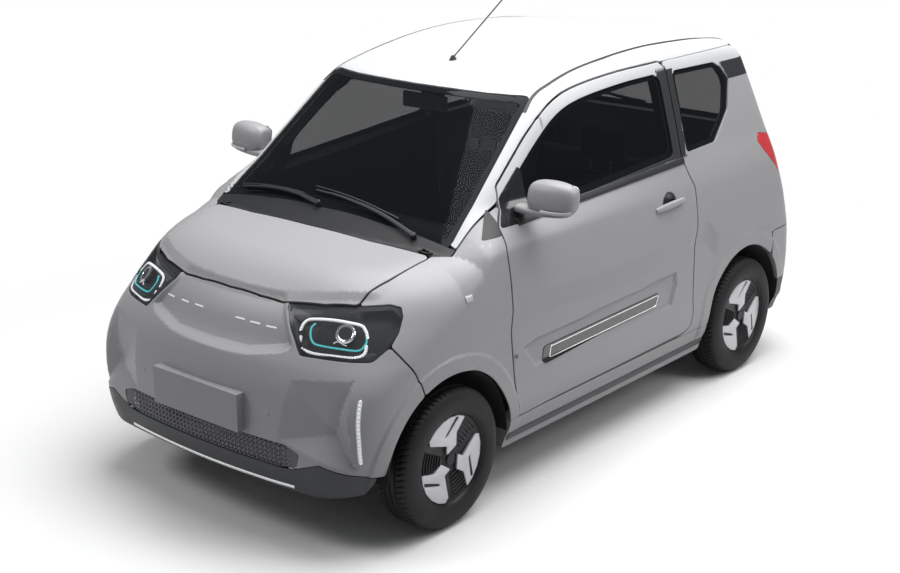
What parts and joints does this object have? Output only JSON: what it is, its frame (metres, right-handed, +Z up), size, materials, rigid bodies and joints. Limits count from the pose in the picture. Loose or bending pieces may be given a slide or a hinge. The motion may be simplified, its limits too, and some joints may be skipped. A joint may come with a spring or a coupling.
{
  "type": "microcar",
  "caption": "Small three-door electric city car with opening doors, hood and tailgate, steered front wheels and turning road wheels.",
  "frame": {"origin": "on the floor under the middle of the car's length and width", "axes": "+Z up, +Y towards the tail, +X towards the car's left side"},
  "size_m": [1.776, 3.0891, 1.7542],
  "materials": {
    "body_grey": "satin metallic paint",
    "roof_white": "gloss paint",
    "black_trim": "grained",
    "tinted_glass": "tinted",
    "clear_lens": "clear",
    "lamp_housing": "smoked",
    "red_lens": "gloss",
    "tyre": "moulded",
    "wheel_trim": "gloss",
    "steel": "plain",
    "cast": "cast",
    "alloy": "cast",
    "seat_fabric": "woven",
    "soft_dash": "grained",
    "plate_grey": "satin"
  },
  "bodies": {
    "shell": {"antenna": "black_trim", "battery_pack": "steel", "bulkhead": "steel", "cowl_panel": "black_trim", "dashboard": "soft_dash", "drive_motor": "alloy", "floor_pan": "steel", "front_bumper": "body_grey", "front_subframe": "steel", "front_valance": "black_trim", "front_wings": "body_grey", "headlamp_lenses": "clear_lens", "headlamps": "lamp_housing", "intake_grille": "body_grey", "interior_mirror": "black_trim", "number_plate": "plate_grey", "quarter_glass": "tinted_glass", "quarter_panels": "body_grey", "rear_axle": "steel", "rear_bench": "seat_fabric", "rear_bumper": "body_grey", "roof_panel": "roof_white", "seat_left": "seat_fabric", "seat_right": "seat_fabric", "sills": "body_grey", "steering_column": "soft_dash", "tail_lamps": "red_lens", "upper_frame": "roof_white", "wheel_liners": "black_trim", "windshield": "tinted_glass", "wipers": "black_trim"},
    "door_left": {"door_glass_left": "tinted_glass", "door_left": "body_grey", "door_trim_left": "black_trim", "mirror_left": "body_grey"},
    "door_right": {"door_glass_right": "tinted_glass", "door_right": "body_grey", "door_trim_right": "black_trim", "mirror_right": "body_grey"},
    "hood": {"hood": "body_grey"},
    "knuckle_left": {"knuckle_left": "cast"},
    "knuckle_right": {"knuckle_right": "cast"},
    "steering_wheel": {"steering_wheel": "soft_dash"},
    "tailgate": {"tailgate": "body_grey", "tailgate_glass": "tinted_glass"},
    "wheel_front_left": {"tyre_front_left": "tyre", "wheel_front_left": "wheel_trim"},
    "wheel_front_right": {"tyre_front_right": "tyre", "wheel_front_right": "wheel_trim"},
    "wheel_rear_left": {"tyre_rear_left": "tyre", "wheel_rear_left": "wheel_trim"},
    "wheel_rear_right": {"tyre_rear_right": "tyre", "wheel_rear_right": "wheel_trim"}
  },
  "joints": [
    {"name": "steer_left", "type": "hinge", "parent": "shell", "child": "knuckle_left", "pos_m": [0.6, -0.99, 0.266], "axis": [0, 0, 1], "range_deg": [-33, 33]},
    {"name": "spin_front_left", "type": "hinge", "parent": "knuckle_left", "child": "wheel_front_left", "pos_m": [0.66, -0.99, 0.266], "axis": [1, 0, 0], "continuous": true},
    {"name": "spin_rear_left", "type": "hinge", "parent": "shell", "child": "wheel_rear_left", "pos_m": [0.66, 1.07, 0.266], "axis": [1, 0, 0], "continuous": true},
    {"name": "door_left_hinge", "type": "hinge", "parent": "shell", "child": "door_left", "pos_m": [0.734, -0.628, 0.64], "axis": [0, 0, -1], "range_deg": [0, 65]},
    {"name": "steer_right", "type": "hinge", "parent": "shell", "child": "knuckle_right", "pos_m": [-0.6, -0.99, 0.266], "axis": [0, 0, 1], "range_deg": [-33, 33]},
    {"name": "spin_front_right", "type": "hinge", "parent": "knuckle_right", "child": "wheel_front_right", "pos_m": [-0.66, -0.99, 0.266], "axis": [1, 0, 0], "continuous": true},
    {"name": "spin_rear_right", "type": "hinge", "parent": "shell", "child": "wheel_rear_right", "pos_m": [-0.66, 1.07, 0.266], "axis": [1, 0, 0], "continuous": true},
    {"name": "door_right_hinge", "type": "hinge", "parent": "shell", "child": "door_right", "pos_m": [-0.734, -0.628, 0.64], "axis": [0, 0, 1], "range_deg": [0, 65]},
    {"name": "hood_hinge", "type": "hinge", "parent": "shell", "child": "hood", "pos_m": [0, -0.897, 0.972], "axis": [-1, 0, 0], "range_deg": [0, 50]},
    {"name": "tailgate_hinge", "type": "hinge", "parent": "shell", "child": "tailgate", "pos_m": [0, 1.18, 1.48], "axis": [1, 0, 0], "range_deg": [0, 80]},
    {"name": "steering_wheel_turn", "type": "hinge", "parent": "shell", "child": "steering_wheel", "pos_m": [0.33, -0.32, 0.905], "axis": [0, -0.9063, -0.4226], "range_deg": [-495, 495]}
  ],
  "couplings": [
    {"joint": "steer_right", "follows": "steer_left", "ratio": 1},
    {"joint": "steering_wheel_turn", "follows": "steer_left", "ratio": -15}
  ]
}
